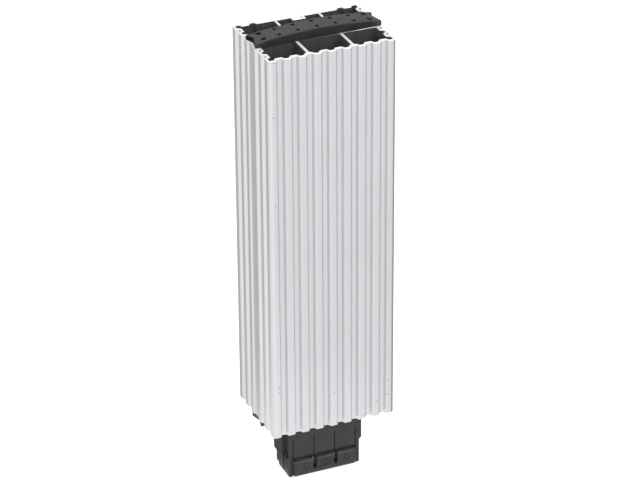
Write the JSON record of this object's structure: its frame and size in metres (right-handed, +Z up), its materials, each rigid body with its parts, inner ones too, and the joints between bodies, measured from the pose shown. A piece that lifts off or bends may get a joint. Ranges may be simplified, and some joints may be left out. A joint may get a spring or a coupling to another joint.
{
  "type": "enclosure heater",
  "caption": "Slim heater for electrical enclosures: a ribbed, webbed aluminium extrusion with an arched cap, a rail clip behind and a connection housing below.",
  "frame": {"origin": "on the flat underside of the connection housing, below the middle of the profile's section", "axes": "+Z up along the profile, the front with the panels of the connection housing faces -Y, +Y towards the rail, +X to the right seen from the front"},
  "size_m": [0.07, 0.0554, 0.2614],
  "materials": {
    "profile_aluminium": "satin anodised, fine die lines along the length",
    "cap_plastic": "fine moulded grain, black",
    "housing_plastic": "satin, charcoal black",
    "clamp_steel": "zinc plated",
    "spring_steel": "rolled spring steel",
    "sheet_aluminium": "bare mill finish",
    "ceramic": "fired ceramic, matt grey",
    "film": "amber insulating film",
    "frame_plastic": "heat-proof moulding, cream"
  },
  "bodies": {
    "root": {"profile": "profile_aluminium", "top_cap": "cap_plastic", "bottom_cap": "cap_plastic", "rear_housing": "housing_plastic", "front_housing": "housing_plastic", "clamp_cage_1": "clamp_steel", "clamp_cage_2": "clamp_steel", "clamp_cage_3": "clamp_steel", "clamp_spring_1": "spring_steel", "clamp_spring_2": "spring_steel", "clamp_spring_3": "spring_steel", "back_film": "film", "front_film": "film", "back_electrode": "sheet_aluminium", "front_electrode": "sheet_aluminium", "stone_frame": "frame_plastic", "heating_stone_1": "ceramic", "heating_stone_2": "ceramic", "heating_stone_3": "ceramic", "heating_stone_4": "ceramic", "heating_stone_5": "ceramic", "heating_stone_6": "ceramic", "front_wedge": "sheet_aluminium", "back_wedge": "sheet_aluminium", "earth_strip": "clamp_steel", "rail_clip": "spring_steel", "clip_screw_1": "clamp_steel", "clip_screw_2": "clamp_steel"}
  },
  "joints": []
}
